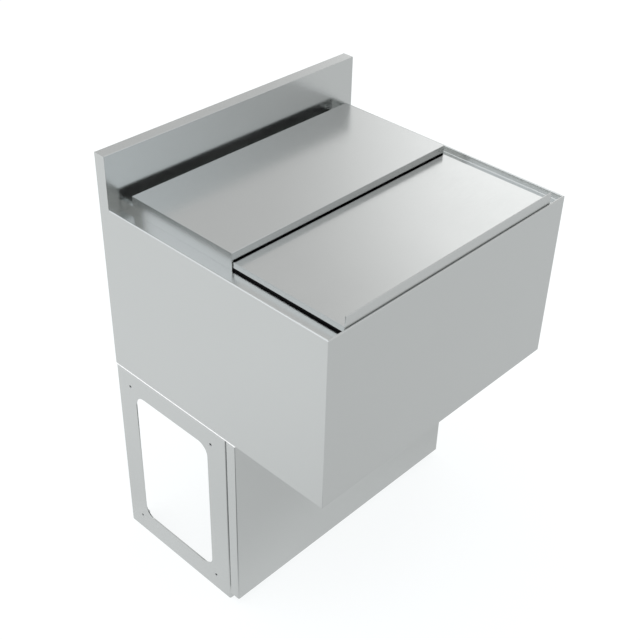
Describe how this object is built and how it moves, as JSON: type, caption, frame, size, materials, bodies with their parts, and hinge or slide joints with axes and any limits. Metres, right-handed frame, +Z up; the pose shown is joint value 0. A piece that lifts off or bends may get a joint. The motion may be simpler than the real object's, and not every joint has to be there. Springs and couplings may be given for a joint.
{
  "type": "underbar ice bin",
  "caption": "Satin stainless underbar ice bin with a low backsplash, a lid that slides back under a raised rear cover, and a shallow panelled base with windowed side frames.",
  "frame": {"origin": "middle of the footprint of the whole object, on the floor", "axes": "+Z up, +X to the user's right, +Y to the back; the user stands at -Y"},
  "size_m": [0.61, 0.54, 0.864],
  "materials": {
    "satin_steel": "satin, fine grain",
    "chrome": "polished",
    "brass": "machined",
    "zinc_steel": "zinc plated",
    "black_plastic": "matte, moulded",
    "black_rubber": "matte",
    "foam": "closed cell foam"
  },
  "bodies": {
    "cabinet": {"left_side_panel": "satin_steel", "right_side_panel": "satin_steel", "front_apron": "satin_steel", "backsplash": "satin_steel", "rear_panel": "satin_steel", "bottom_pan": "satin_steel", "ice_liner": "satin_steel", "foam_insulation": "foam", "drain_body": "chrome", "drain_strainer": "satin_steel", "drain_gasket": "black_rubber", "drain_locknut": "brass", "drain_tailpiece": "chrome", "drain_slip_nut": "chrome", "lid_runner_left": "black_plastic", "lid_runner_right": "black_plastic", "runner_screws": "zinc_steel", "left_frame": "satin_steel", "right_frame": "satin_steel", "front_top_rail": "satin_steel", "front_bottom_rail": "satin_steel", "rear_top_rail": "satin_steel", "base_spacers": "zinc_steel", "base_bolts": "zinc_steel", "weld_nuts": "zinc_steel", "panel_catches": "black_rubber"},
    "lid": {"sliding_lid": "satin_steel"},
    "rear_cover_body": {"rear_cover": "satin_steel"},
    "access_panel": {"base_front_panel": "satin_steel", "panel_studs": "zinc_steel"},
    "false_bottom": {"ice_rack": "satin_steel", "rack_feet": "satin_steel"}
  },
  "joints": [
    {"name": "lid_slide", "type": "slide", "parent": "cabinet", "child": "lid", "axis": [0, 1, 0], "range_m": [0, 0.238]},
    {"name": "cover_lift", "type": "slide", "parent": "cabinet", "child": "rear_cover_body", "axis": [0, 0, 1], "range_m": [0, 0.06]},
    {"name": "panel_pull", "type": "slide", "parent": "cabinet", "child": "access_panel", "axis": [0, -1, 0], "range_m": [0, 0.08]},
    {"name": "rack_lift", "type": "slide", "parent": "cabinet", "child": "false_bottom", "axis": [0, 0, 1], "range_m": [0, 0.18]}
  ]
}
